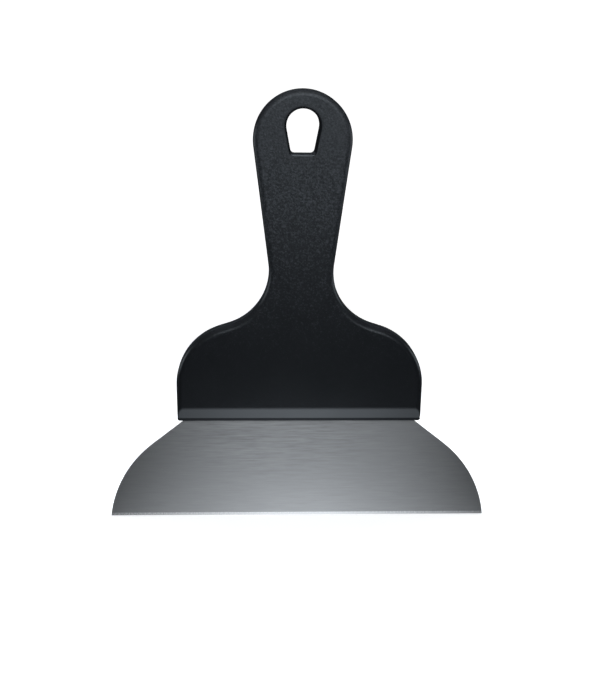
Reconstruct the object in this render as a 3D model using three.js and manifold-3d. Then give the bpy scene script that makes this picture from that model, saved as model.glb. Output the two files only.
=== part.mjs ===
// Chocolate scraper: a stainless blade in a black handle that is moulded round its tang.
// Millimetres. X runs along the working edge, +Z up the handle, and the front faces -Y.
// Heights are drawn up from the working edge. The finished group is lowered, so that the origin is
// the point where a hook bears in the hang hole.
import * as THREE from "three";
import { mergeVertices } from "three/addons/utils/BufferGeometryUtils.js";
import Module from "manifold-3d";

const wasm = await Module();
wasm.setup();

// Overall sizes
const bladeWidth = 200;
const exposedHeight = 55.5;
const handleHeight = 167;
const handleThickness = 11;
const baseWidth = 126;

// Handle outline: base, round shoulder, sloping top, hollow neck, tapered grip, round end
const baseCorner = 1.5;
const baseSide = 20;
const shoulderRadius = 32;
const shoulderSlope = THREE.MathUtils.degToRad(18);
const neckRadius = 29;
const gripTaper = THREE.MathUtils.degToRad(7.3);
const endRadius = 23.75;

// Handle section: rounded edges, and a bevel that runs down to a thin lip over the blade
const edgeRounding = 3.2;
const straightWall = 0.1;
const bevelHeight = 6.4;
const bevelBlend = 2;
const lipWall = 1.3;
const lipHeight = 1.5;
const lipDraft = 0.05;

// Hang hole
const holeWidth = 15.8;
const holeHeight = 21.2;
const holeTaper = THREE.MathUtils.degToRad(10.8);
const holeCorner = 2;
const holeRim = 1;
const wallOverHole = 8.9;

// Blade sheet and its ground edge
const bladeThickness = 1;
const sideRadius = 64;
const sideFlank = 22;
const sideMargin = 3.8;
const grindHeight = 1.8;
const edgeThickness = 0.25;

// Tang: a wide foot in the base and a tongue up the grip, with holes that the plastic runs through
const clearance = 0.3;
const bladeRise = 3;
const footMargin = 12;
const footHeight = 25;
const footFillet = 3;
const footCorner = 8;
const tongueWidth = 18;
const tongueFillet = 6;
const tongueUnderHole = 27;
const footHoleCount = 4;
const footHoleRadius = 4.5;
const tongueHoleCount = 2;
const tongueHoleRadius = 3.5;

// Facets
const arcStep = THREE.MathUtils.degToRad(5);
const cornerStep = THREE.MathUtils.degToRad(15);
const roundingSteps = 8;
const rimSteps = 4;
const holeSegments = 12;
const cutMargin = 1;
const mergeTolerance = 1e-4;

const quarter = Math.PI / 2;
const halfThickness = handleThickness / 2;
const bladeHalf = bladeWidth / 2;
const baseHalf = baseWidth / 2;
const lipHalf = bladeThickness / 2 + clearance + lipWall;

// The rounded edges leave a straight wall between them and the lip's faces.
const edgeRadius = Math.min(edgeRounding, halfThickness - lipHalf - lipDraft - straightWall);

const shoulder = new THREE.Vector2(baseHalf - shoulderRadius, exposedHeight + baseSide);
const gripEnd = new THREE.Vector2(0, exposedHeight + handleHeight - endRadius);
const holeTop = exposedHeight + handleHeight - wallOverHole;
const holeCentre = new THREE.Vector2(0, holeTop - holeWidth / 2);

// A straight flank, told by the direction it faces and how far it lies from a point.
function flank(facing, point, distance) {
  return { facing, reach: facing.dot(point) + distance };
}

// The point where two flanks cross.
function crossing(a, b) {
  const turn = a.facing.cross(b.facing);
  const x = (a.reach * b.facing.y - b.reach * a.facing.y) / turn;
  const y = (b.reach * a.facing.x - a.reach * b.facing.x) / turn;
  return new THREE.Vector2(x, y);
}

// The neck's hollow touches both the grip's tapered flank and the shoulder's slope.
const gripFacing = new THREE.Vector2(Math.cos(gripTaper), -Math.sin(gripTaper));
const slopeFacing = new THREE.Vector2(Math.sin(shoulderSlope), Math.cos(shoulderSlope));
const neck = crossing(
  flank(gripFacing, gripEnd, endRadius + neckRadius),
  flank(slopeFacing, shoulder, shoulderRadius + neckRadius),
);

// The hole's lower corners touch its tapered flanks and its floor.
const holeFacing = new THREE.Vector2(Math.cos(holeTaper), -Math.sin(holeTaper));
const floorFacing = new THREE.Vector2(0, -1);
const holeFoot = crossing(
  flank(holeFacing, holeCentre, holeWidth / 2 - holeCorner),
  flank(floorFacing, new THREE.Vector2(0, holeTop - holeHeight), -holeCorner),
);

// The blade's side leaves the lip as a straight flank, and an arc that touches the flank takes it
// down to the working corner.
const corner = new THREE.Vector2(bladeHalf, 0);
const lipPoint = new THREE.Vector2(baseHalf - sideMargin, exposedHeight);
const chord = lipPoint.clone().sub(corner);
const chordShare = (1 - sideFlank ** 2 / chord.lengthSq()) / 2;
const sagging = Math.sqrt(sideRadius ** 2 - chord.lengthSq() * chordShare ** 2);
const inward = new THREE.Vector2(-chord.y, chord.x).normalize();
const sideCentre = corner
  .clone()
  .addScaledVector(chord, chordShare)
  .addScaledVector(inward, sagging);
const sideLean = lipPoint.clone().sub(sideCentre).angle() - Math.atan2(sideFlank, sideRadius);

const footHalf = baseHalf - footMargin;
const footTop = exposedHeight + footHeight;
const tongueHalf = tongueWidth / 2;
const tongueTop = holeTop - holeHeight - tongueUnderHole;

// Points on an arc, both ends included. It turns clockwise where it ends at the smaller angle.
function arc(x, z, radius, from, to, step = arcStep) {
  const steps = Math.ceil(Math.abs(to - from) / step);
  return new THREE.EllipseCurve(x, z, radius, radius, from, to, to < from).getPoints(steps);
}

// A closed outline from its right half, which is listed upwards from the bottom.
function symmetric(right) {
  const left = right
    .filter((point) => point.x > mergeTolerance)
    .map((point) => new THREE.Vector2(-point.x, point.y))
    .reverse();
  return [...right, ...left];
}

// Front outline of the handle, drawn in by inset, with its lower edge raised by lift.
function handleOutline(inset, lift) {
  const half = baseHalf - inset - baseCorner;
  const bottom = exposedHeight + lift + baseCorner;
  return symmetric([
    ...arc(half, bottom, baseCorner, -quarter, 0, cornerStep),
    ...arc(shoulder.x, shoulder.y, shoulderRadius - inset, 0, quarter - shoulderSlope),
    ...arc(neck.x, neck.y, neckRadius + inset, -quarter - shoulderSlope, -Math.PI - gripTaper),
    ...arc(gripEnd.x, gripEnd.y, endRadius - inset, -gripTaper, quarter),
  ]);
}

// Outline of the hang hole, widened by grow.
function holeOutline(grow) {
  return symmetric([
    ...arc(holeFoot.x, holeFoot.y, holeCorner + grow, -quarter, -holeTaper, cornerStep),
    ...arc(holeCentre.x, holeCentre.y, holeWidth / 2 + grow, -holeTaper, quarter),
  ]);
}

// Outline of the blade and its tang, widened by grow; the key holes narrow by as much.
function bladeShape(grow) {
  const side = sideRadius + grow;
  const edge = lipPoint.x + grow;
  const low = Math.asin((-grow - sideCentre.y) / side);
  const foot = exposedHeight + bladeRise + footFillet;
  const tongueFoot = footTop + tongueFillet;
  const shape = new THREE.Shape(
    symmetric([
      ...arc(sideCentre.x, sideCentre.y, side, low, sideLean),
      new THREE.Vector2(edge, exposedHeight + grow * Math.tan(sideLean / 2)),
      new THREE.Vector2(edge, exposedHeight + bladeRise + grow),
      ...arc(footHalf + footFillet, foot, footFillet - grow, -quarter, -Math.PI, cornerStep),
      ...arc(footHalf - footCorner, footTop - footCorner, footCorner + grow, 0, quarter, cornerStep),
      ...arc(tongueHalf + tongueFillet, tongueFoot, tongueFillet - grow, -quarter, -Math.PI, cornerStep),
      ...arc(0, tongueTop - tongueHalf, tongueHalf + grow, 0, quarter, cornerStep),
    ]),
  );
  for (let k = 0; k < footHoleCount; k++) {
    const x = (((2 * k + 1) / footHoleCount) - 1) * footHalf;
    const z = (exposedHeight + bladeRise + footTop) / 2;
    shape.holes.push(new THREE.Path().absarc(x, z, footHoleRadius - grow, 0, 2 * Math.PI, true));
  }
  for (let k = 0; k < tongueHoleCount; k++) {
    const z = THREE.MathUtils.lerp(footTop, tongueTop, (2 * k + 1) / (2 * tongueHoleCount));
    shape.holes.push(new THREE.Path().absarc(0, z, tongueHoleRadius - grow, 0, 2 * Math.PI, true));
  }
  return shape;
}

// A shape drawn in X and Z, given a thickness about the middle plane.
function plate(shape, thickness) {
  return new THREE.ExtrudeGeometry(shape, {
    depth: thickness,
    bevelEnabled: false,
    curveSegments: holeSegments,
  })
    .rotateX(quarter)
    .translate(0, thickness / 2, 0);
}

// A closed skin through outlines of the same point count, listed from front to back.
function loft(sections) {
  const count = sections[0].outline.length;
  const points = sections.flatMap(({ depth, outline }) =>
    outline.flatMap((point) => [point.x, depth, point.y]),
  );
  const faces = [];
  for (let ring = 0; ring + 1 < sections.length; ring++) {
    for (let k = 0; k < count; k++) {
      const here = ring * count + k;
      const next = ring * count + ((k + 1) % count);
      faces.push(here, here + count, next, next, here + count, next + count);
    }
  }
  const back = (sections.length - 1) * count;
  for (const [a, b, c] of THREE.ShapeUtils.triangulateShape(sections[0].outline, [])) {
    faces.push(a, b, c);
  }
  for (const [a, b, c] of THREE.ShapeUtils.triangulateShape(sections.at(-1).outline, [])) {
    faces.push(back + a, back + c, back + b);
  }
  return new THREE.BufferGeometry()
    .setAttribute("position", new THREE.Float32BufferAttribute(points, 3))
    .setIndex(faces);
}

// Sections from the middle to the back, mirrored to the front.
function bothWays(sections) {
  const front = sections.map(({ depth, outline }) => ({ depth: -depth, outline }));
  return [...front.reverse(), ...sections];
}

function solid(geometry) {
  geometry.deleteAttribute("normal");
  geometry.deleteAttribute("uv");
  const merged = mergeVertices(geometry, mergeTolerance);
  return new wasm.Manifold(
    new wasm.Mesh({
      numProp: 3,
      vertProperties: merged.attributes.position.array,
      triVerts: new Uint32Array(merged.index.array),
    }),
  );
}

// How far the bevel has raised the lower edge at a depth, with a soft turn into the flat face.
function bevelLift(depth) {
  const run = halfThickness - lipHalf - lipDraft;
  const lean = Math.atan2(run, bevelHeight);
  const blendTop = lipHeight + bevelHeight + bevelBlend * Math.tan(lean / 2);
  const fromBlend = depth - halfThickness + bevelBlend;
  if (fromBlend > bevelBlend * Math.cos(lean)) {
    return blendTop - Math.sqrt(Math.max(0, bevelBlend ** 2 - fromBlend ** 2));
  }
  return lipHeight + ((depth - lipHalf - lipDraft) * bevelHeight) / run;
}

// The moulding: lip, bevel and rounded edges, from the middle of the thickness to a face.
function handleSections() {
  const sections = [
    { depth: lipHalf, outline: handleOutline(0, 0) },
    { depth: lipHalf + lipDraft, outline: handleOutline(0, lipHeight) },
  ];
  for (let k = 0; k <= roundingSteps; k++) {
    const turn = (quarter * k) / roundingSteps;
    const depth = halfThickness - edgeRadius * (1 - Math.sin(turn));
    const inset = edgeRadius * (1 - Math.cos(turn));
    sections.push({ depth, outline: handleOutline(inset, bevelLift(depth)) });
  }
  return bothWays(sections);
}

// The hang hole's cutter, which flares at both faces so that the rims come out round.
function holeSections() {
  const sections = [];
  for (let k = 0; k <= rimSteps; k++) {
    const turn = (quarter * k) / rimSteps;
    const depth = halfThickness - holeRim * (1 - Math.sin(turn));
    sections.push({ depth, outline: holeOutline(holeRim * (1 - Math.cos(turn))) });
  }
  sections.push({ depth: halfThickness + cutMargin, outline: holeOutline(holeRim) });
  return bothWays(sections);
}

// What the grinder takes off one face of the working edge.
function grindCutter(side) {
  const face = bladeThickness / 2;
  const lean = (face - edgeThickness / 2) / grindHeight;
  const below = edgeThickness / 2 - lean * cutMargin;
  const above = face + lean * cutMargin;
  const section = new THREE.Shape([
    new THREE.Vector2(side * below, -cutMargin),
    new THREE.Vector2(side * (above + cutMargin), -cutMargin),
    new THREE.Vector2(side * (above + cutMargin), grindHeight + cutMargin),
    new THREE.Vector2(side * above, grindHeight + cutMargin),
  ]);
  const length = bladeWidth + 2 * cutMargin;
  return new THREE.ExtrudeGeometry(section, { depth: length, bevelEnabled: false })
    .rotateX(quarter)
    .rotateZ(quarter)
    .translate(-length / 2, 0, 0);
}

function node(name, body, material) {
  const { vertProperties, triVerts } = body.getMesh();
  const geometry = new THREE.BufferGeometry()
    .setAttribute("position", new THREE.BufferAttribute(vertProperties, 3))
    .setIndex(new THREE.BufferAttribute(triVerts, 1));
  geometry.computeVertexNormals();
  const mesh = new THREE.Mesh(geometry, material);
  mesh.name = name;
  return mesh;
}

const steel = new THREE.MeshStandardMaterial({ color: 0xaeb3b7, roughness: 0.34, metalness: 1 });
const blackPlastic = new THREE.MeshStandardMaterial({ color: 0x26292d, roughness: 0.58, metalness: 0 });

const blade = solid(plate(bladeShape(0), bladeThickness))
  .subtract(solid(grindCutter(1)))
  .subtract(solid(grindCutter(-1)));

// The mould closes on the blade, so the space for it is the blade itself with a clearance all round.
const handle = solid(loft(handleSections()))
  .subtract(solid(loft(holeSections())))
  .subtract(solid(plate(bladeShape(clearance), bladeThickness + 2 * clearance)));

const scraper = new THREE.Group();
scraper.name = "scraper";
scraper.add(node("blade", blade, steel), node("handle", handle, blackPlastic));
scraper.position.z = -holeTop;

export default scraper;
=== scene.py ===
"""Chocolate scraper: a brushed blade in a grained black handle that is moulded round its tang.

Metres. X runs along the working edge, +Z up the handle, and the front faces -Y. The origin is the
top of the hang hole. Outlines are drawn as heights over the working edge, the lowest line.
"""

from math import asin, atan2, ceil, cos, hypot, pi, radians, sin, sqrt, tan

import bmesh
import bpy
from mathutils import Matrix, Vector


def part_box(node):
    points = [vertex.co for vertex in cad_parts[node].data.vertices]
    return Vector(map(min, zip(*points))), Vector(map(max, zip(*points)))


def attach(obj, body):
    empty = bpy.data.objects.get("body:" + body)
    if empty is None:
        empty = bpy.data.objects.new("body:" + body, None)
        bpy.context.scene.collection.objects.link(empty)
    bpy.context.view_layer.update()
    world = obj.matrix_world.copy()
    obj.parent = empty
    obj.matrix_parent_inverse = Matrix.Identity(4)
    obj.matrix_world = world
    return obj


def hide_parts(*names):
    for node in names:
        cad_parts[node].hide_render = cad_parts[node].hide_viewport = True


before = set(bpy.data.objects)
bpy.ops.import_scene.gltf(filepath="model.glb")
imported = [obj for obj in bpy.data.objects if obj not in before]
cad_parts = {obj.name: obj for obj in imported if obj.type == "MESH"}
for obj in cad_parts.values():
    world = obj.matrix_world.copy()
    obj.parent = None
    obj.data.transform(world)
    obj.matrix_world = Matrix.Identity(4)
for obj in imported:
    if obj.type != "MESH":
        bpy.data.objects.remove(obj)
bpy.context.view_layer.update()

bl_info = {
    "name": "Chocolate Scraper",
    "version": (1, 0, 0),
    "blender": (4, 5, 0),
    "location": "View3D > Sidebar > Scraper",
    "description": "Models a moulded chocolate scraper on its packed frame, with a studio",
    "category": "Object",
}

HANDLE_LOW, HANDLE_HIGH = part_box("handle")
BLADE_LOW, BLADE_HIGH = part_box("blade")
EDGE = BLADE_LOW.z
TINY = 1e-6
ARC_STEP = radians(3)
CORNER_STEP = radians(10)
PIN_SIDES = 32
DISC_SIDES = 96
FOOT_HOLES = 4
TONGUE_HOLES = 2
GROUND_SLOT = 1
BORE_SLOT = 1
SILL_HIGHLIGHT_SLOT = 2
BRUSHING = "brushing"
PLASTIC_IOR = 1.49
NOISE_RANGE = (0.3, 0.7)
FULL_RANGE = (0, 1)


def length(name, description, default):
    """A size in metres."""
    return bpy.props.FloatProperty(
        name=name, description=description, default=default, unit="LENGTH", precision=5
    )


def angle(name, description, default):
    """An angle, given in degrees."""
    return bpy.props.FloatProperty(
        name=name, description=description, default=radians(default), subtype="ANGLE"
    )


def share(name, description, default):
    """A number from 0 to 1."""
    return bpy.props.FloatProperty(
        name=name, description=description, default=default, min=0, max=1, subtype="FACTOR"
    )


def power(name, description, default):
    """The power of a lamp in watts."""
    return bpy.props.FloatProperty(
        name=name, description=description, default=default, min=0, unit="POWER"
    )


def strength(name, description, default):
    """The brightness of a surface that glows."""
    return bpy.props.FloatProperty(name=name, description=description, default=default, min=0)


def colour(name, description, default):
    """A linear colour."""
    return bpy.props.FloatVectorProperty(
        name=name, description=description, default=default, size=3, min=0, max=1, subtype="COLOR"
    )


class HandleSizes(bpy.types.PropertyGroup):
    """Sizes of the moulded handle."""

    width: length("Width", "Width of the base over the blade", HANDLE_HIGH.x - HANDLE_LOW.x)
    height: length("Height", "Height from the lip to the top", HANDLE_HIGH.z - HANDLE_LOW.z)
    thickness: length("Thickness", "Thickness from face to face", HANDLE_HIGH.y - HANDLE_LOW.y)
    side: length("Side", "Height at which the shoulder starts to turn in", 0.020)
    shoulder: length("Shoulder", "Radius of the shoulders", 0.032)
    slope: angle("Slope", "Fall of the base's top towards the shoulders", 18)
    neck: length("Neck", "Radius of the hollow between base and grip", 0.029)
    taper: angle("Taper", "Lean of each flank of the grip", 7.3)
    end: length("End", "Radius of the grip's end", 0.02375)
    rounding: length("Rounding", "Radius of the edges round both faces", 0.0032)
    bevel: length("Bevel", "Height of the bevels that run down to the lip", 0.0064)
    crease: length("Crease", "Width of the soft turn round each bevel", 0.0007)
    lip: length("Lip", "Height of the lip over the blade", 0.0015)
    lip_thickness: length("Lip thickness", "Thickness of the lip at its lower edge", 0.0042)
    lip_draft: length("Lip draft", "How much the lip thickens upwards on each face", 0.00005)
    lip_corner: length("Lip corner", "Radius of the lip's outer corners", 0.0012)
    hole_width: length("Hole width", "Width of the hang hole", 0.0158)
    hole_height: length("Hole height", "Height of the hang hole", 0.0212)
    hole_taper: angle("Hole taper", "Lean of each flank of the hang hole", 10.8)
    hole_corner: length("Hole corner", "Radius of the hang hole's lower corners", 0.002)
    hole_rim: length("Hole rim", "Radius of the hang hole's rims", 0.0010)
    hole_wall: length("Hole wall", "Plastic above the hang hole", 0.0089)


class BladeSizes(bpy.types.PropertyGroup):
    """Sizes of the blade and of the tang that the handle is moulded round."""

    width: length("Width", "Width of the working edge", BLADE_HIGH.x - BLADE_LOW.x)
    exposed: length("Exposed", "Height of the blade below the handle", HANDLE_LOW.z - BLADE_LOW.z)
    thickness: length("Thickness", "Thickness of the sheet", BLADE_HIGH.y - BLADE_LOW.y)
    side: length("Side", "Radius of the blade's round sides", 0.064)
    flank: length("Flank", "Straight part of each side, under the lip", 0.022)
    margin: length("Margin", "Lip left bare at each side of the blade", 0.0038)
    grind: length("Grind", "Height of the ground edge", 0.0018)
    edge: length("Edge", "Thickness left at the working edge", 0.00025)
    softening: length("Softening", "Width of the worn corners of the sheet", 0.00008)
    clearance: length("Clearance", "Gap between the tang and the plastic", 0.0003)
    rise: length("Rise", "Height that the blade keeps its width inside the lip", 0.003)
    foot_margin: length("Foot margin", "Plastic at each side of the tang's foot", 0.012)
    foot: length("Foot", "Height of the tang's foot", 0.025)
    foot_fillet: length("Foot fillet", "Radius under the tang's foot", 0.003)
    foot_corner: length("Foot corner", "Radius of the foot's upper corners", 0.008)
    tongue_width: length("Tongue width", "Width of the tongue up the grip", 0.018)
    tongue_fillet: length("Tongue fillet", "Radius where the tongue leaves the foot", 0.006)
    foot_hole: length("Foot hole", "Radius of the key holes in the foot", 0.0045)
    tongue_hole: length("Tongue hole", "Radius of the key holes in the tongue", 0.0035)


class Finishes(bpy.types.PropertyGroup):
    """Colours and surfaces of the plastic and the steel."""

    plastic: colour("Plastic", "Body colour of the moulding", (0.013, 0.014, 0.016))
    speck: colour("Speck", "Colour of the scuffed tips of the grain", (0.064, 0.067, 0.072))
    grain: length("Grain", "Size of the moulded grain", 0.0011)
    plastic_gloss: share("Plastic gloss", "Strength of the plastic's reflections", 0.56)
    bore_gloss: share("Bore gloss", "Strength of the reflections in the hang hole", 0.15)
    steel: colour("Steel", "Colour of the brushed sheet", (0.405, 0.387, 0.374))
    ground: colour("Ground", "Colour of the ground edge", (0.52, 0.495, 0.475))
    steel_roughness: share("Steel roughness", "Roughness of the brushed sheet", 0.48)


class StudioSettings(bpy.types.PropertyGroup):
    """Camera, lights and floor."""

    azimuth: angle("Azimuth", "Camera's turn round the part", -2.174)
    elevation: angle("Elevation", "Camera's height over the horizon", 17.47)
    roll: angle("Roll", "Camera's tilt about its own axis", 0.726)
    distance: length("Distance", "Camera's distance from its target", 0.4752)
    target: length("Target", "Height over the working edge that the camera looks at", 0.10037)
    aside: length("Aside", "How far the camera's target lies to the right", -0.0001)
    floor: colour("Floor", "Colour of the floor", (0.90, 0.90, 0.90))
    tint: colour("Tint", "Colour of the light on the part", (0.82, 0.91, 1.0))
    overhead: power("Overhead", "Power of the softbox over the part", 10)
    sky: power("Sky", "Power of the dim panel that the upper edges mirror", 1.2)
    key: power("Key", "Power of the softbox before the grip", 0.154)
    fill: power("Fill", "Power of the softbox behind the part", 0.6)
    wing: power("Wing", "Power of each softbox beside the part", 0.5)
    bounce: strength("Bounce", "Brightness of the light that the floor throws back", 1.92)
    surround: strength("Surround", "Brightness of the room", 0.035)


class Pen:
    """Draws half of an outline in a front plane, by extruding and spinning its last vertex."""

    def __init__(self, name, depth, x, z):
        bpy.ops.object.select_all(action="DESELECT")
        bpy.ops.mesh.primitive_plane_add(location=(0, 0, 0))
        self.piece = bpy.context.object
        self.piece.name = name
        self.at = Vector((x, depth, EDGE + z))
        self.start = self.at.copy()
        bpy.ops.object.mode_set(mode="EDIT")
        bpy.ops.mesh.select_mode(type="VERT")
        bpy.ops.mesh.merge(type="CENTER")
        bpy.ops.transform.translate(value=self.at)

    def move(self, place):
        """A straight stretch to a place."""
        bpy.ops.mesh.extrude_region_move(TRANSFORM_OT_translate={"value": place - self.at})
        self.at = place

    def line(self, x, z):
        """A straight stretch to a point of the outline."""
        self.move(Vector((x, self.at.y, EDGE + z)))

    def arc(self, x, z, radius, begin, end, step=ARC_STEP):
        """A straight stretch to the arc's beginning, if it lies apart, and then the arc."""
        first = Vector((x + radius * cos(begin), self.at.y, EDGE + z + radius * sin(begin)))
        if (first - self.at).length > TINY:
            self.move(first)
        bpy.ops.mesh.spin(
            steps=ceil(abs(end - begin) / step),
            angle=end - begin,
            center=(x, self.at.y, EDGE + z),
            axis=(0, 1, 0),
        )
        self.at = Vector((x + radius * cos(end), self.at.y, EDGE + z + radius * sin(end)))

    def plate(self, thickness):
        """Closes the outline, makes it a plate of a thickness, and mirrors it about the middle."""
        self.move(self.start)
        bpy.ops.mesh.select_all(action="SELECT")
        bpy.ops.mesh.remove_doubles(threshold=TINY)
        bpy.ops.mesh.edge_face_add()
        bpy.ops.mesh.extrude_region_move(TRANSFORM_OT_translate={"value": (0, thickness, 0)})
        pick(self.piece, "FACE", lambda face: all(abs(vert.co.x) < TINY for vert in face.verts))
        bpy.ops.mesh.delete(type="ONLY_FACE")
        bpy.ops.object.mode_set(mode="OBJECT")
        finish(self.piece, "MIRROR", use_mirror_merge=True, merge_threshold=TINY)
        bpy.ops.object.mode_set(mode="EDIT")
        bpy.ops.mesh.select_all(action="SELECT")
        bpy.ops.mesh.normals_make_consistent(inside=False)
        return self.piece


def finish(piece, kind, **settings):
    """Applies a modifier to a piece."""
    bpy.context.view_layer.objects.active = piece
    modifier = piece.modifiers.new(kind.title(), kind)
    for name, value in settings.items():
        setattr(modifier, name, value)
    bpy.ops.object.modifier_apply(modifier=modifier.name)


def pick(piece, kind, test):
    """Selects, in edit mode, the edges or faces that pass a test."""
    bpy.ops.mesh.select_mode(type=kind)
    bpy.ops.mesh.select_all(action="DESELECT")
    mesh = bmesh.from_edit_mesh(piece.data)
    mesh.normal_update()
    for item in mesh.edges if kind == "EDGE" else mesh.faces:
        item.select_set(test(item))
    mesh.select_flush_mode()
    bmesh.update_edit_mesh(piece.data)


def paint(piece, slot, test):
    """Gives, in edit mode, the faces that pass a test the material of a slot."""
    pick(piece, "FACE", test)
    piece.active_material_index = slot
    bpy.ops.object.material_slot_assign()


def cut(piece, cutter):
    """Cuts one piece out of another and removes the cutter."""
    finish(piece, "BOOLEAN", operation="DIFFERENCE", solver="EXACT", object=cutter)
    bpy.data.objects.remove(cutter)


def crossing(a_facing, a_reach, b_facing, b_reach):
    """The point where two straight flanks cross."""
    turn = a_facing.cross(b_facing)
    x = (a_reach * b_facing.y - b_reach * a_facing.y) / turn
    z = (b_reach * a_facing.x - a_reach * b_facing.x) / turn
    return Vector((x, z))


def blade_plate(name, sizes, handle, grow):
    """The blade and its tang as a plate, widened by grow on every side, with its key holes."""
    tip = Vector((sizes.width / 2, 0))
    lip = Vector((handle.width / 2 - sizes.margin, sizes.exposed))
    # The side's arc starts at the tip, and the flank leaves it at a tangent and ends at the lip.
    chord = lip - tip
    chord_share = (1 - sizes.flank**2 / chord.length_squared) / 2
    offset = sqrt(sizes.side**2 - chord.length_squared * chord_share**2)
    inward = Vector((-chord.y, chord.x)).normalized()
    centre = tip + chord * chord_share + inward * offset
    side = sizes.side + grow
    low = asin((-grow - centre.y) / side)
    lean = atan2(lip.y - centre.y, lip.x - centre.x) - atan2(sizes.flank, sizes.side)
    foot_half = handle.width / 2 - sizes.foot_margin
    foot_top = sizes.exposed + sizes.foot
    tongue_half = sizes.tongue_width / 2
    tongue_top = BLADE_HIGH.z - EDGE
    fillet = sizes.foot_fillet
    corner = sizes.foot_corner
    bend = sizes.tongue_fillet
    depth = sizes.thickness / 2 + grow

    pen = Pen(name, -depth, 0, -grow)
    pen.arc(centre.x, centre.y, side, low, lean)
    pen.line(lip.x + grow, sizes.exposed + grow * tan(lean / 2))
    pen.line(lip.x + grow, sizes.exposed + sizes.rise + grow)
    foot = sizes.exposed + sizes.rise + fillet
    pen.arc(foot_half + fillet, foot, fillet - grow, -pi / 2, -pi, CORNER_STEP)
    pen.arc(foot_half - corner, foot_top - corner, corner + grow, 0, pi / 2, CORNER_STEP)
    pen.arc(tongue_half + bend, foot_top + bend, bend - grow, -pi / 2, -pi, CORNER_STEP)
    pen.arc(0, tongue_top - tongue_half, tongue_half + grow, 0, pi / 2, CORNER_STEP)
    plate = pen.plate(2 * depth)
    bpy.ops.object.mode_set(mode="OBJECT")

    row = (sizes.exposed + sizes.rise + foot_top) / 2
    spacing = 2 * foot_half / FOOT_HOLES
    foot_holes = [(spacing * (k + 0.5) - foot_half, row) for k in range(FOOT_HOLES)]
    climb = (tongue_top - foot_top) / TONGUE_HOLES
    tongue_holes = [(0, foot_top + climb * (k + 0.5)) for k in range(TONGUE_HOLES)]
    cut(plate, punch(foot_holes, sizes.foot_hole - grow, depth))
    cut(plate, punch(tongue_holes, sizes.tongue_hole - grow, depth))
    return plate


def punch(places, radius, depth):
    """Pins for a row of key holes, the first one copied along the row."""
    x, z = places[0]
    bpy.ops.object.select_all(action="DESELECT")
    bpy.ops.mesh.primitive_cylinder_add(
        vertices=PIN_SIDES,
        radius=radius,
        depth=4 * depth,
        location=(x, 0, EDGE + z),
        rotation=(pi / 2, 0, 0),
    )
    pins = bpy.context.object
    bpy.ops.object.transform_apply()
    bpy.ops.object.mode_set(mode="EDIT")
    for (x, z), (next_x, next_z) in zip(places, places[1:]):
        step = (next_x - x, 0, next_z - z)
        bpy.ops.mesh.duplicate_move(TRANSFORM_OT_translate={"value": step})
    bpy.ops.object.mode_set(mode="OBJECT")
    return pins


def handle_plate(sizes, exposed):
    """The handle's outline above the lip as a plate, with its hang hole."""
    half = sizes.width / 2
    top = exposed + sizes.height
    shoulder = Vector((half - sizes.shoulder, exposed + sizes.side))
    end = Vector((0, top - sizes.end))
    flank = Vector((cos(sizes.taper), -sin(sizes.taper)))
    slope = Vector((sin(sizes.slope), cos(sizes.slope)))
    neck = crossing(
        flank,
        flank.dot(end) + sizes.end + sizes.neck,
        slope,
        slope.dot(shoulder) + sizes.shoulder + sizes.neck,
    )
    hole_radius = sizes.hole_width / 2
    hole_top = top - sizes.hole_wall
    hole = Vector((0, hole_top - hole_radius))
    hole_flank = Vector((cos(sizes.hole_taper), -sin(sizes.hole_taper)))
    floor = Vector((0, -1))
    foot = crossing(
        hole_flank,
        hole_flank.dot(hole) + hole_radius - sizes.hole_corner,
        floor,
        sizes.hole_height - hole_top - sizes.hole_corner,
    )

    pen = Pen("moulded_handle", -sizes.thickness / 2, 0, exposed + sizes.lip)
    pen.line(half, exposed + sizes.lip)
    pen.arc(shoulder.x, shoulder.y, sizes.shoulder, 0, pi / 2 - sizes.slope)
    pen.arc(neck.x, neck.y, sizes.neck, -pi / 2 - sizes.slope, -pi - sizes.taper)
    pen.arc(end.x, end.y, sizes.end, -sizes.taper, pi / 2)
    pen.arc(hole.x, hole.y, hole_radius, pi / 2, -sizes.hole_taper)
    pen.arc(foot.x, foot.y, sizes.hole_corner, -sizes.hole_taper, -pi / 2, CORNER_STEP)
    pen.line(0, hole_top - sizes.hole_height)
    return pen.plate(sizes.thickness)


def round_rims(piece, sizes, exposed):
    """Rounds the edges round both faces, and the hang hole's rims."""
    front = sizes.thickness / 2
    base = EDGE + exposed + sizes.lip
    hole_top = HANDLE_HIGH.z - sizes.hole_wall
    hole_floor = hole_top - sizes.hole_height
    reach = sizes.hole_width / 2 + TINY

    def on_rim(edge):
        middle = (edge.verts[0].co + edge.verts[1].co) / 2
        flat = abs(edge.verts[0].co.y - edge.verts[1].co.y) < TINY
        return flat and abs(middle.x) > TINY and middle.z > base + TINY

    def in_hole(edge):
        inside = all(
            abs(vert.co.x) < reach and hole_floor - TINY < vert.co.z < hole_top + TINY
            for vert in edge.verts
        )
        return inside and on_rim(edge)

    def on_hole_rim(edge):
        return in_hole(edge) and all(abs(abs(vert.co.y) - front) < TINY for vert in edge.verts)

    pick(piece, "EDGE", lambda edge: on_rim(edge) and not in_hole(edge))
    bpy.ops.mesh.bevel(offset=sizes.rounding, segments=10, profile=0.5, clamp_overlap=False)
    pick(piece, "EDGE", on_hole_rim)
    bpy.ops.mesh.bevel(offset=sizes.hole_rim, segments=6, profile=0.5, clamp_overlap=False)


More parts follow.
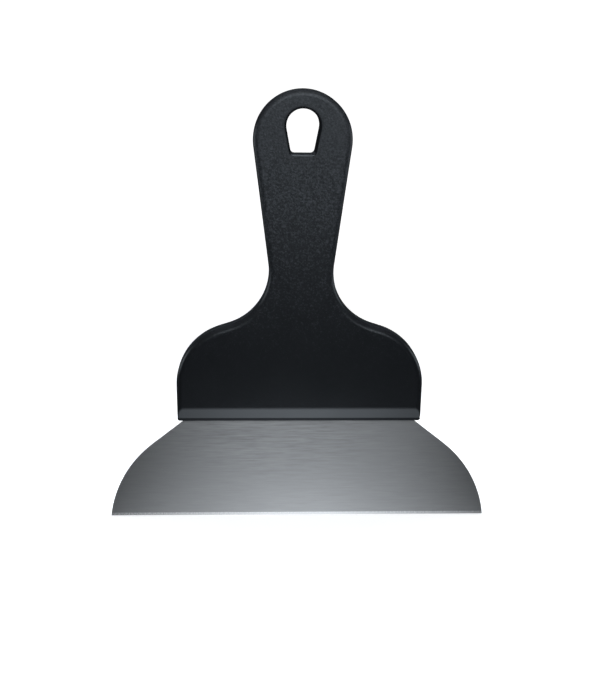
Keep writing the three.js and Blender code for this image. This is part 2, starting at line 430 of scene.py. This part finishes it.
def paint_hole(piece, sizes):
    """Gives the bore its painted shade and its sill a painted highlight, each in a material of its
    own.
    """
    hole_top = HANDLE_HIGH.z - sizes.hole_wall
    low = hole_top - sizes.hole_height - sizes.hole_rim
    high = hole_top + sizes.hole_rim
    reach = sizes.hole_width / 2 + sizes.hole_rim + TINY
    # Limits for a normal's part along an axis, which is 1 where the face is square to that axis.
    slight = 0.3
    mostly = 0.8
    square = 0.999

    def at_hole(face):
        middle = face.calc_center_median()
        return abs(middle.x) < reach and low < middle.z < high

    def in_bore(face):
        return at_hole(face) and abs(face.normal.y) < square and face.normal.z < slight

    def on_sill(face):
        upward = slight < face.normal.z < mostly
        return at_hole(face) and upward and abs(face.normal.x) < slight

    paint(piece, BORE_SLOT, in_bore)
    paint(piece, SILL_HIGHLIGHT_SLOT, on_sill)


def shave(depth, base, run, rise):
    """Cuts, in edit mode, both faces back to slanted planes that start at a depth and a height."""
    for side in (-1, 1):
        bpy.ops.mesh.select_all(action="SELECT")
        bpy.ops.mesh.bisect(
            plane_co=(0, side * depth, base),
            plane_no=Vector((0, side * rise, -run)).normalized(),
            use_fill=True,
            clear_outer=True,
        )


def cut_bevels(piece, sizes, exposed):
    """Cuts the two bevels under the faces, draws the lip down, and softens the creases."""
    base = EDGE + exposed + sizes.lip
    root = sizes.lip_thickness / 2 + sizes.lip_draft
    run = sizes.thickness / 2 - root
    shave(root, base, run, sizes.bevel)
    bpy.ops.mesh.select_all(action="SELECT")
    bpy.ops.mesh.remove_doubles(threshold=TINY)

    pick(piece, "FACE", lambda face: abs(face.calc_center_median().z - base) < TINY)
    bpy.ops.mesh.extrude_region_move(TRANSFORM_OT_translate={"value": (0, 0, -sizes.lip)})
    narrowing = (1, sizes.lip_thickness / 2 / root, 1)
    bpy.ops.transform.resize(value=narrowing, center_override=(0, 0, base - sizes.lip))

    def at_corner(edge):
        outer = all(abs(abs(vert.co.x) - sizes.width / 2) < TINY for vert in edge.verts)
        lowest = all(abs(vert.co.z - base + sizes.lip) < TINY for vert in edge.verts)
        return outer and lowest

    pick(piece, "EDGE", at_corner)
    bpy.ops.mesh.bevel(offset=sizes.lip_corner, segments=5, profile=0.5, clamp_overlap=False)

    near = 10 * TINY
    least_turn = radians(5)

    def on_bevel(vert):
        height = base + (abs(vert.co.y) - root) * sizes.bevel / run
        return abs(vert.co.z - height) < near

    def on_border(edge):
        above_lip = any(vert.co.z > base + near for vert in edge.verts)
        on_plane = all(on_bevel(vert) for vert in edge.verts)
        return above_lip and on_plane and edge.calc_face_angle(0) > least_turn

    pick(piece, "EDGE", on_border)
    bpy.ops.mesh.bevel(offset=sizes.crease, segments=5, profile=0.5, clamp_overlap=False)


def ride(piece, node):
    """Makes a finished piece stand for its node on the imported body."""
    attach(piece, "root")
    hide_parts(node)


def even_shading(piece, limit):
    """Smooth shading on rounded edges, with the flat faces kept flat."""
    bpy.ops.object.select_all(action="DESELECT")
    piece.select_set(True)
    bpy.context.view_layer.objects.active = piece
    bpy.ops.object.shade_smooth_by_angle(angle=limit)
    finish(piece, "WEIGHTED_NORMAL", keep_sharp=True)


class Nodes:
    """A material's node tree, with its shader and its own short ways to add and join nodes."""

    def __init__(self, name):
        self.material = bpy.data.materials.new(name)
        self.material.use_nodes = True
        self.tree = self.material.node_tree
        self.shader = self.tree.nodes["Principled BSDF"]
        self.place = self.add("ShaderNodeTexCoord").outputs["Object"]

    def add(self, kind, **settings):
        """A node of a kind, with its settings given by name."""
        node = self.tree.nodes.new(kind)
        for name, value in settings.items():
            setattr(node, name, value)
        return node

    def join(self, output, target):
        """A link from an output to an input."""
        self.tree.links.new(output, target)

    def noise(self, scale, stretch=(1, 1, 1), detail=2.0, roughness=0.5):
        """Noise whose features are stretched by a vector and sized by a scale."""
        mapping = self.add("ShaderNodeMapping")
        mapping.inputs["Scale"].default_value = stretch
        texture = self.add("ShaderNodeTexNoise")
        texture.inputs["Scale"].default_value = scale
        texture.inputs["Detail"].default_value = detail
        texture.inputs["Roughness"].default_value = roughness
        self.join(self.place, mapping.inputs["Vector"])
        self.join(mapping.outputs["Vector"], texture.inputs["Vector"])
        return texture.outputs["Fac"]

    def away(self, stretch, shift=(0, 0, 0)):
        """The distance from the middle, stretched by a vector, with the middle shifted."""
        mapping = self.add("ShaderNodeMapping")
        mapping.inputs["Location"].default_value = shift
        mapping.inputs["Scale"].default_value = stretch
        distance = self.add("ShaderNodeVectorMath", operation="LENGTH")
        self.join(self.place, mapping.inputs["Vector"])
        self.join(mapping.outputs["Vector"], distance.inputs[0])
        return distance.outputs["Value"]

    def span(self, value, within, to):
        """A value mapped from one range to another, held at its ends."""
        node = self.add("ShaderNodeMapRange")
        for name, number in zip(("From Min", "From Max", "To Min", "To Max"), (*within, *to)):
            node.inputs[name].default_value = number
        self.join(value, node.inputs["Value"])
        return node.outputs["Result"]

    def math(self, operation, *values):
        """Arithmetic on values or numbers."""
        node = self.add("ShaderNodeMath", operation=operation)
        for socket, value in zip(node.inputs, values):
            if isinstance(value, bpy.types.NodeSocket):
                self.join(value, socket)
            else:
                socket.default_value = value
        return node.outputs["Value"]

    def product(self, first, *others):
        """The product of several values."""
        for other in others:
            first = self.math("MULTIPLY", first, other)
        return first

    def spread(self, value, level, amount):
        """A value drawn away from a level, or towards it, by an amount."""
        return self.math("MULTIPLY_ADD", self.math("SUBTRACT", value, level), amount, level)

    def blend(self, amount, a, b):
        """A colour between two colours."""
        node = self.add("ShaderNodeMix", data_type="RGBA")
        node.inputs["A"].default_value = (*a, 1)
        node.inputs["B"].default_value = (*b, 1)
        self.join(amount, node.inputs["Factor"])
        return node.outputs["Result"]

    def bump(self, height, distance, strength, over=None):
        """A bumped normal, laid over another one where it is given."""
        node = self.add("ShaderNodeBump")
        node.inputs["Distance"].default_value = distance
        node.inputs["Strength"].default_value = strength
        self.join(height, node.inputs["Height"])
        if over is not None:
            self.join(over, node.inputs["Normal"])
        return node.outputs["Normal"]


def shade(tone, amount):
    """A colour made darker or lighter by a factor."""
    return tuple(amount * part for part in tone)


def plastic(name, gloss):
    """The nodes of a plastic with a gloss."""
    nodes = Nodes(name)
    nodes.shader.inputs["IOR"].default_value = PLASTIC_IOR
    nodes.shader.inputs["Specular IOR Level"].default_value = gloss
    return nodes


def metal(name):
    """The nodes of a bare metal."""
    nodes = Nodes(name)
    nodes.shader.inputs["Metallic"].default_value = 1
    return nodes


def grained_plastic(finishes, sizes):
    """Black moulding whose faces have a pebbled grain, worn lighter where a hand holds the grip,
    and painted lighter up the grip and darker towards the base as painted light and shade.
    """
    nodes = plastic("grained_plastic", finishes.plastic_gloss)
    shader = nodes.shader
    split = nodes.add("ShaderNodeSeparateXYZ")
    nodes.join(nodes.place, split.inputs["Vector"])
    height = split.outputs["Z"]
    depth = nodes.math("ABSOLUTE", split.outputs["Y"])
    front = sizes.thickness / 2
    arch = sizes.hole_width / 2
    rim = arch + sizes.hole_rim
    face_border = (front - 0.0016, front - 0.0002)
    shade_ring_border = (rim, rim + 0.0012)
    neck_heights = (-0.13, -0.1)
    wear_and_light_heights = (-0.125, -0.05)
    hole_heights = (-0.04, -0.015)
    dust_level = 0.525
    tip_levels = (0.59, 0.72)
    wear_and_light = 0.13
    dulling = 0.15

    # The grain lies on the faces, is faint on the base, and is shallow beside the hang hole. Its
    # scuffed tips fade on the base too, painted shade that makes the base darker.
    on_face = nodes.span(depth, face_border, (0.15, 1))
    textured_and_shaded = nodes.product(on_face, nodes.span(height, neck_heights, (0.25, 1)))
    relief = nodes.span(height, hole_heights, (1.1, 0.48))
    grain = nodes.noise(1 / finishes.grain, detail=1.0)
    pebbles = nodes.product(grain, textured_and_shaded, relief)
    nodes.join(nodes.bump(pebbles, distance=0.00018, strength=1.0), shader.inputs["Normal"])

    # The tips of the grain are scuffed light, with more of them up the grip as painted light and
    # fewer towards the base as painted shade; round the top of the hang hole they are left out, a
    # painted dark ring of shade.
    # Painted light and shade: the scuffed tips grow from the base up to the grip.
    handled_and_lit = nodes.span(height, wear_and_light_heights, (0.08, 1))
    # Painted shade: a dark ring round the top of the hang hole where no scuffed tips are laid.
    clear_of_shade_ring = nodes.span(nodes.away((1, 0, 1), (0, 0, arch)), shade_ring_border, FULL_RANGE)
    dust_and_light = nodes.noise(1.3 / finishes.grain, detail=4.0, roughness=0.8)
    dust_and_light = nodes.spread(dust_and_light, dust_level, relief)
    dust_and_light = nodes.math("MULTIPLY_ADD", handled_and_lit, wear_and_light, dust_and_light)
    tips = nodes.span(dust_and_light, tip_levels, FULL_RANGE)
    worn_and_lit = nodes.product(tips, textured_and_shaded, clear_of_shade_ring)
    nodes.join(nodes.blend(worn_and_lit, finishes.plastic, finishes.speck), shader.inputs["Base Color"])

    # The polish of the mould varies in patches, and handling dulls it.
    polish = nodes.span(nodes.noise(60), NOISE_RANGE, (0.285, 0.32))
    rubbed = nodes.product(on_face, handled_and_lit)
    nodes.join(nodes.math("MULTIPLY_ADD", rubbed, dulling, polish), shader.inputs["Roughness"])
    return nodes.material


def shaded_bore_plastic(finishes):
    """The same moulding in the hang hole, where it is smooth and dull, and its colour is painted
    darker as painted shade.
    """
    nodes = plastic("shaded_bore_plastic", finishes.bore_gloss)
    cloud = nodes.noise(0.5 / finishes.grain, detail=3.0)
    # Painted shade: the bore's colour is darkened below the plastic's own.
    tone = nodes.blend(cloud, shade(finishes.plastic, 0.6), finishes.plastic)
    nodes.join(tone, nodes.shader.inputs["Base Color"])
    nodes.join(nodes.span(cloud, NOISE_RANGE, (0.38, 0.5)), nodes.shader.inputs["Roughness"])
    return nodes.material


def sill_highlight_plastic(finishes):
    """The rim under the hang hole, painted lighter as a painted highlight."""
    nodes = plastic("sill_highlight_plastic", finishes.plastic_gloss)
    cloud = nodes.noise(1 / finishes.grain, detail=3.0)
    # Painted highlight: the sill's colour is lifted well above the grain's scuffed tips.
    tone = nodes.blend(cloud, finishes.speck, shade(finishes.speck, 2.2))
    nodes.join(tone, nodes.shader.inputs["Base Color"])
    nodes.join(nodes.span(cloud, NOISE_RANGE, (0.3, 0.4)), nodes.shader.inputs["Roughness"])
    return nodes.material


def brushed_steel(finishes):
    """Slightly wavy stainless sheet, with brush lines that are clearest in its upper middle."""
    nodes = metal("brushed_steel")
    shader = nodes.shader
    shader.inputs["Anisotropic"].default_value = 0.8
    shader.inputs["Anisotropic Rotation"].default_value = 0.25
    lines = nodes.add("ShaderNodeTangent", direction_type="UV_MAP", uv_map=BRUSHING)
    nodes.join(lines.outputs["Tangent"], shader.inputs["Tangent"])

    noise_level = 0.5
    widening = 0.5
    aside = 0.015
    upper = EDGE + 0.055
    from_upper_middle = nodes.away((widening, 0, 1), (widening * aside, 0, -upper))
    relief = nodes.span(from_upper_middle, (0.012, 0.034), (2.25, 0.6))
    fine = nodes.noise(5200, stretch=(0.012, 1, 1), detail=3.0, roughness=0.6)
    fine = nodes.spread(fine, noise_level, relief)
    coarse = nodes.noise(1250, stretch=(0.07, 1, 1), detail=3.0, roughness=0.6)
    coarse = nodes.spread(coarse, noise_level, relief)
    waves = nodes.noise(14, detail=1.0)

    dark = shade(finishes.steel, 0.79)
    light = shade(finishes.steel, 1.07)
    tone = nodes.blend(nodes.span(coarse, (0.1, 0.9), FULL_RANGE), dark, light)
    nodes.join(tone, shader.inputs["Base Color"])
    rough = finishes.steel_roughness
    blur = nodes.span(fine, NOISE_RANGE, (rough - 0.05, rough + 0.06))
    nodes.join(blur, shader.inputs["Roughness"])
    wavy = nodes.bump(waves, distance=0.004, strength=0.25)
    brushed = nodes.bump(coarse, distance=0.00008, strength=0.32, over=wavy)
    scored = nodes.bump(fine, distance=0.00003, strength=0.4, over=brushed)
    nodes.join(scored, shader.inputs["Normal"])
    return nodes.material


def ground_steel(finishes):
    """The bright ground edge, with fine marks across it."""
    nodes = metal("ground_steel")
    shader = nodes.shader
    marks = nodes.noise(4200, stretch=(1, 1, 0.05))
    dark = shade(finishes.ground, 0.95)
    tone = nodes.blend(nodes.span(marks, NOISE_RANGE, FULL_RANGE), dark, finishes.ground)
    nodes.join(tone, shader.inputs["Base Color"])
    nodes.join(nodes.span(marks, NOISE_RANGE, (0.24, 0.3)), shader.inputs["Roughness"])
    nodes.join(nodes.bump(marks, distance=0.00001, strength=0.2), shader.inputs["Normal"])
    return nodes.material


class SCRAPER_OT_blade(bpy.types.Operator):
    """Models the ground blade with its tang"""

    bl_idname = "scraper.blade"
    bl_label = "Blade"

    def execute(self, context):
        sizes = context.scene.scraper_blade
        finishes = context.scene.scraper_finishes
        plate = blade_plate("ground_blade", sizes, context.scene.scraper_handle, 0)
        plate.data.materials.append(brushed_steel(finishes))
        plate.data.materials.append(ground_steel(finishes))
        bpy.context.view_layer.objects.active = plate
        bpy.ops.object.mode_set(mode="EDIT")
        bite = (sizes.thickness - sizes.edge) / 2
        shave(sizes.edge / 2, EDGE, bite, sizes.grind)
        slant = bite / hypot(bite, sizes.grind)
        tolerance = 0.05
        mostly = 0.9

        def on_grind(face):
            return abs(face.normal.z + slant) < tolerance and abs(face.normal.y) > mostly

        paint(plate, GROUND_SLOT, on_grind)
        plate.data.uv_layers[0].name = BRUSHING
        bpy.ops.mesh.select_all(action="SELECT")
        bpy.ops.uv.cube_project(cube_size=sizes.width)
        bpy.ops.object.mode_set(mode="OBJECT")
        finish(
            plate,
            "BEVEL",
            width=sizes.softening,
            segments=2,
            limit_method="ANGLE",
            angle_limit=radians(40),
        )
        even_shading(plate, limit=radians(50))
        ride(plate, "blade")
        return {"FINISHED"}


class SCRAPER_OT_handle(bpy.types.Operator):
    """Models the moulded handle with its hang hole, bevels and lip"""

    bl_idname = "scraper.handle"
    bl_label = "Handle"

    def execute(self, context):
        sizes = context.scene.scraper_handle
        blade = context.scene.scraper_blade
        finishes = context.scene.scraper_finishes
        piece = handle_plate(sizes, blade.exposed)
        piece.data.materials.append(grained_plastic(finishes, sizes))
        piece.data.materials.append(shaded_bore_plastic(finishes))
        piece.data.materials.append(sill_highlight_plastic(finishes))
        round_rims(piece, sizes, blade.exposed)
        paint_hole(piece, sizes)
        cut_bevels(piece, sizes, blade.exposed)
        bpy.ops.mesh.select_all(action="SELECT")
        bpy.ops.mesh.remove_doubles(threshold=TINY)
        bpy.ops.mesh.normals_make_consistent(inside=False)
        bpy.ops.object.mode_set(mode="OBJECT")
        cut(piece, blade_plate("tang_space", blade, sizes, blade.clearance))
        even_shading(piece, limit=radians(22))
        ride(piece, "handle")
        return {"FINISHED"}


class SCRAPER_OT_studio(bpy.types.Operator):
    """Sets the floor, the lights and the camera"""

    bl_idname = "scraper.studio"
    bl_label = "Studio"

    def execute(self, context):
        settings = context.scene.scraper_studio
        bowl(settings)
        bounce(settings)
        tint = settings.tint
        white = (1, 1, 1)
        overhead = softbox("overhead", settings.overhead, white, place=(0, 0, 1.2), size=1.6)
        overhead.visible_glossy = False
        softbox("sky", settings.sky, tint, place=(0, 0.1, 1.2), size=1.6)
        before_grip = (0.02, -0.24, 0.12)
        softbox("key", settings.key, tint, before_grip, size=0.32, spread=radians(70))
        behind_grip = (-0.02, 0.30, 0.20)
        fill = softbox("fill", settings.fill, tint, behind_grip, size=0.3, spread=radians(90))
        fill.visible_glossy = False
        softbox("left_wing", settings.wing, tint, place=(-0.7, 0.1, -0.05), size=0.3)
        softbox("right_wing", settings.wing, tint, place=(0.7, 0.1, -0.05), size=0.3)
        world = bpy.data.worlds.new("room")
        world.use_nodes = True
        backdrop = world.node_tree.nodes["Background"]
        backdrop.inputs["Color"].default_value = (*tint, 1)
        backdrop.inputs["Strength"].default_value = settings.surround
        context.scene.world = world
        context.scene.view_settings.view_transform = "Standard"
        set_camera(settings)
        return {"FINISHED"}


def disc(name, radius, height):
    """A flat disc under the part."""
    bpy.ops.object.select_all(action="DESELECT")
    bpy.ops.mesh.primitive_circle_add(
        vertices=DISC_SIDES, radius=radius, fill_type="NGON", location=(0, 0, height)
    )
    piece = bpy.context.object
    piece.name = name
    bpy.ops.object.transform_apply()
    return piece


def bowl(settings):
    """A pale floor that curves up into a wall all round."""
    radius = 1.6
    curve = 0.8
    wall = 3
    steps = 12
    floor = disc("floor", radius, EDGE)
    bpy.ops.object.mode_set(mode="EDIT")
    # The border's edges are selected alone here, because pick would take the disc's face along.
    for k in range(steps):
        bpy.ops.mesh.select_mode(type="EDGE")
        bpy.ops.mesh.select_all(action="DESELECT")
        mesh = bmesh.from_edit_mesh(floor.data)
        for edge in mesh.edges:
            edge.select_set(edge.is_boundary)
        bmesh.update_edit_mesh(floor.data)
        turn = pi / 2 * k / steps
        following = pi / 2 * (k + 1) / steps
        rise = curve * (cos(turn) - cos(following))
        wide = (radius + curve * sin(following)) / (radius + curve * sin(turn))
        bpy.ops.mesh.extrude_region_move(TRANSFORM_OT_translate={"value": (0, 0, rise)})
        bpy.ops.transform.resize(value=(wide, wide, 1), center_override=(0, 0, EDGE))
    bpy.ops.mesh.extrude_region_move(TRANSFORM_OT_translate={"value": (0, 0, wall)})
    bpy.ops.object.mode_set(mode="OBJECT")
    bpy.ops.object.shade_smooth()
    nodes = Nodes("pale_floor")
    nodes.shader.inputs["Roughness"].default_value = 0.9
    nodes.shader.inputs["Specular IOR Level"].default_value = 0.1
    nodes.shader.inputs["Emission Color"].default_value = (1, 1, 1, 1)
    near_to_far = (0.3, 1.2)
    grey_to_white = (0.65, 1)
    glow = nodes.span(nodes.away(stretch=(1, 1, 0)), near_to_far, grey_to_white)
    nodes.join(glow, nodes.shader.inputs["Emission Strength"])
    fibres = nodes.noise(500, detail=3.0)
    tone = nodes.blend(fibres, shade(settings.floor, 0.97), settings.floor)
    nodes.join(tone, nodes.shader.inputs["Base Color"])
    floor.data.materials.append(nodes.material)
    floor.visible_diffuse = False
    floor.visible_glossy = False
    floor.visible_shadow = False
    return floor


def bounce(settings):
    """What the part mirrors of the floor: a pool of light round its foot that fades outwards."""
    pool = disc("bounce", radius=2.4, height=EDGE - 0.001)
    nodes = Nodes("bounce")
    nodes.shader.inputs["Base Color"].default_value = (0, 0, 0, 1)
    nodes.shader.inputs["Specular IOR Level"].default_value = 0
    nodes.shader.inputs["Emission Color"].default_value = (*settings.tint, 1)
    far_to_near = (0.15, 0.02)
    dim_to_bright = (0.04, settings.bounce)
    glow = nodes.span(nodes.away(stretch=(1.22, 1, 0)), far_to_near, dim_to_bright)
    nodes.join(glow, nodes.shader.inputs["Emission Strength"])
    pool.data.materials.append(nodes.material)
    pool.visible_camera = False
    pool.visible_shadow = False
    return pool


def softbox(name, watts, tint, place, size, spread=pi):
    """A square area light that faces the grip's end, with its beam narrowed by a spread."""
    lamp = bpy.data.lights.new(name, "AREA")
    lamp.color = tint
    lamp.energy = watts
    lamp.size = size
    lamp.spread = spread
    rig = bpy.data.objects.new(name, lamp)
    bpy.context.scene.collection.objects.link(rig)
    rig.location = place
    rig.rotation_euler = (-rig.location).to_track_quat("-Z", "Y").to_euler()
    rig.visible_camera = False
    return rig


def set_camera(settings):
    """A camera on a sphere round its target, rolled a little about its own axis."""
    turn, lift, roll = settings.azimuth, settings.elevation, settings.roll
    back = Vector((sin(turn) * cos(lift), -cos(turn) * cos(lift), sin(lift)))
    level = Vector((cos(turn), sin(turn), 0))
    upright = back.cross(level)
    right = level * cos(roll) + upright * sin(roll)
    up = upright * cos(roll) - level * sin(roll)
    lens = bpy.data.cameras.new("camera")
    lens.lens = 50
    lens.sensor_width = 36
    camera = bpy.data.objects.new("camera", lens)
    bpy.context.scene.collection.objects.link(camera)
    target = Vector((settings.aside, 0, EDGE + settings.target))
    turned = Matrix((right, up, back)).transposed().to_4x4()
    camera.matrix_world = Matrix.Translation(target + back * settings.distance) @ turned
    bpy.context.scene.camera = camera


class SCRAPER_PT_sidebar(bpy.types.Panel):
    """The scraper's pieces, sizes and finishes"""

    bl_label = "Scraper"
    bl_idname = "SCRAPER_PT_sidebar"
    bl_space_type = "VIEW_3D"
    bl_region_type = "UI"
    bl_category = "Scraper"

    def draw(self, context):
        for group, operator in PIECES:
            box = self.layout.box()
            settings = getattr(context.scene, group)
            for name in settings.__annotations__:
                box.prop(settings, name)
            if operator:
                box.operator(operator)


GROUPS = {
    "scraper_handle": HandleSizes,
    "scraper_blade": BladeSizes,
    "scraper_finishes": Finishes,
    "scraper_studio": StudioSettings,
}
PIECES = (
    ("scraper_finishes", ""),
    ("scraper_blade", "scraper.blade"),
    ("scraper_handle", "scraper.handle"),
    ("scraper_studio", "scraper.studio"),
)
CLASSES = (
    *GROUPS.values(),
    SCRAPER_OT_blade,
    SCRAPER_OT_handle,
    SCRAPER_OT_studio,
    SCRAPER_PT_sidebar,
)


def register():
    """Registers the classes and hangs the settings on the scene."""
    for kind in CLASSES:
        bpy.utils.register_class(kind)
    for name, kind in GROUPS.items():
        setattr(bpy.types.Scene, name, bpy.props.PointerProperty(type=kind))


def unregister():
    """Undoes register."""
    for name in GROUPS:
        delattr(bpy.types.Scene, name)
    for kind in reversed(CLASSES):
        bpy.utils.unregister_class(kind)


def main():
    """Builds the scraper and its studio."""
    register()
    bpy.ops.scraper.blade()
    bpy.ops.scraper.handle()
    bpy.ops.scraper.studio()


if __name__ == "__main__":
    main()
